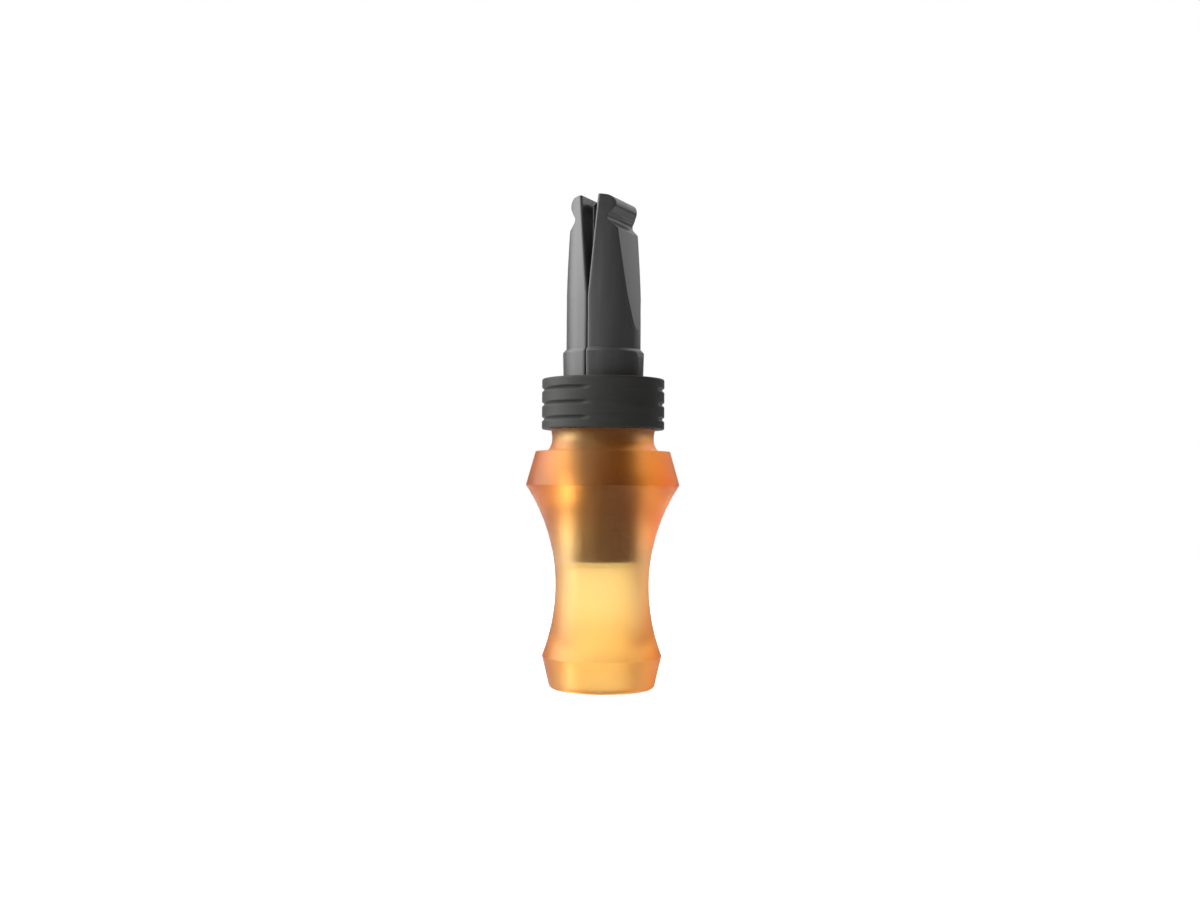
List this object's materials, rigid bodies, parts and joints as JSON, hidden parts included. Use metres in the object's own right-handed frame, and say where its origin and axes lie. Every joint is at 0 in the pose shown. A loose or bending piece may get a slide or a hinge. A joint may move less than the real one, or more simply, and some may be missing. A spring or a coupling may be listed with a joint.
{
  "type": "bird call",
  "caption": "Mouth-blown hunting call: split bite mouthpiece with a clamped reed, pulled out of a waisted translucent barrel with a grooved band.",
  "frame": {"origin": "centre of the exhaust end's flat face, on which the call stands", "axes": "+Z along the bore, up to the mouthpiece; +X is the normal of the plane that splits the insert, towards the right jaw"},
  "size_m": [0.0337, 0.0336, 0.1068],
  "materials": {
    "amber_plastic": "frosted translucent amber, satin",
    "band_rubber": "matt",
    "insert_plastic": "satin, fine moulded grain",
    "reed_film": "thin smoky film, satin",
    "seal_rubber": "matt"
  },
  "bodies": {
    "barrel": {"barrel": "amber_plastic", "band": "band_rubber"},
    "insert": {"left_stem_half": "insert_plastic", "right_stem_half": "insert_plastic", "reed_root": "reed_film", "upper_seal": "seal_rubber", "lower_seal": "seal_rubber"},
    "left_jaw": {"left_jaw": "insert_plastic"},
    "right_jaw": {"right_jaw": "insert_plastic"},
    "reed": {"reed_tongue": "reed_film"}
  },
  "joints": [
    {"name": "insert_pull", "type": "slide", "parent": "barrel", "child": "insert", "axis": [0, 0, 1], "range_m": [0, 0.045]},
    {"name": "right_jaw_bite", "type": "hinge", "parent": "insert", "child": "right_jaw", "pos_m": [0, 0, 0.085], "axis": [0, -1, 0], "range_deg": [0, 3.2], "stiffness_Nm_per_rad": 4},
    {"name": "left_jaw_bite", "type": "hinge", "parent": "insert", "child": "left_jaw", "pos_m": [0, 0, 0.085], "axis": [0, 1, 0], "range_deg": [0, 3.2], "stiffness_Nm_per_rad": 4},
    {"name": "reed_flutter", "type": "hinge", "parent": "insert", "child": "reed", "pos_m": [0, 0, 0.085], "axis": [0, 1, 0], "range_deg": [-1, 1], "stiffness_Nm_per_rad": 0.015}
  ],
  "couplings": [
    {"joint": "left_jaw_bite", "follows": "right_jaw_bite", "ratio": 1}
  ]
}
